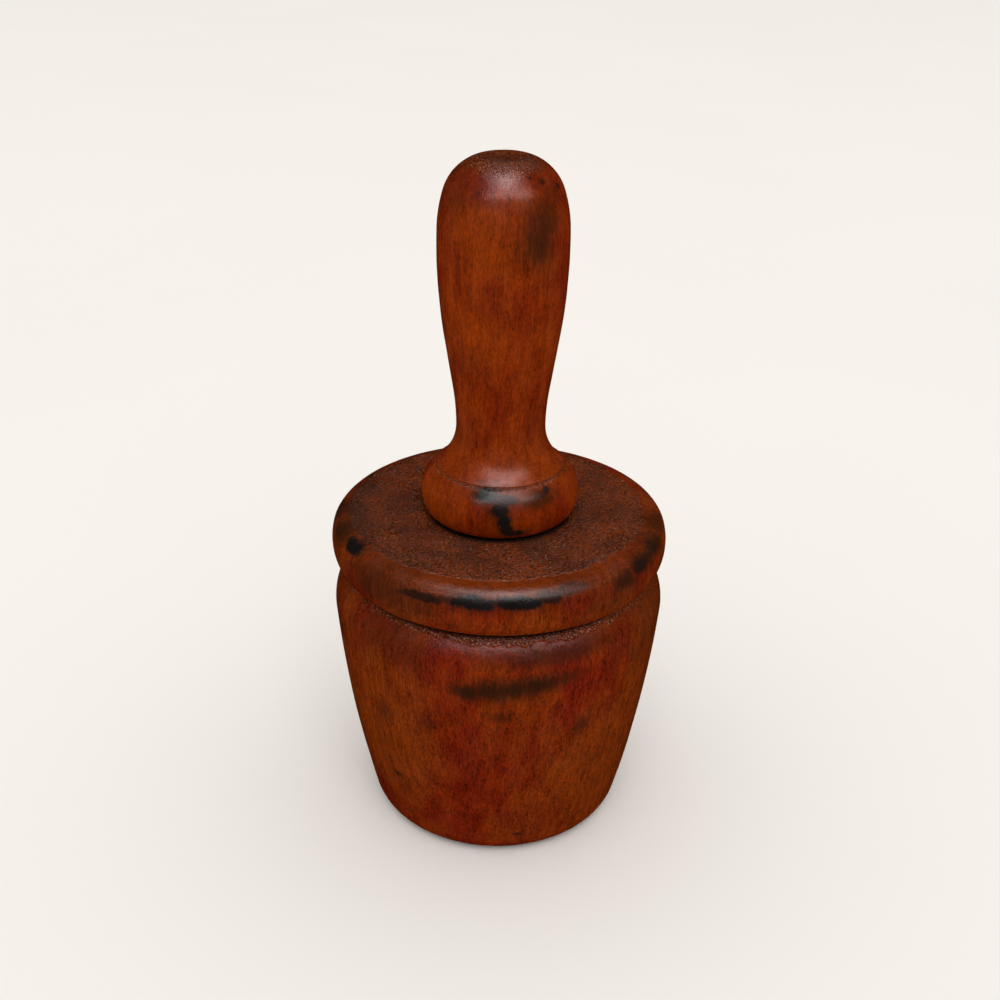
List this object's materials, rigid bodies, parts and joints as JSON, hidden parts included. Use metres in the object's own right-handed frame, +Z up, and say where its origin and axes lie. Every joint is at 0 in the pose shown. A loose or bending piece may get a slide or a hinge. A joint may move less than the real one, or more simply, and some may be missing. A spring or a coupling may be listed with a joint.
{
  "type": "muddler",
  "caption": "Turned wooden muddler: tapered solid masher head with a bead and V groove, and a collared hand grip on a wedged through tenon.",
  "frame": {"origin": "centre of the flat foot of the head, the face that the muddler stands on and works with", "axes": "+Z up the turning axis, from the foot through the head to the end of the grip; the flat of the tenon wedge lies along X"},
  "size_m": [0.1, 0.1, 0.2028],
  "materials": {
    "head_wood": "red-brown stained beech, satin shellac on the side grain, dry and rough on the end grain",
    "handle_wood": "orange-brown stained beech, satin shellac polished by the hand",
    "wedge_wood": "plain hardwood slip, unfinished and worn flush"
  },
  "bodies": {
    "root": {"head": "head_wood", "handle": "handle_wood", "tenon_wedge": "wedge_wood"}
  },
  "joints": []
}
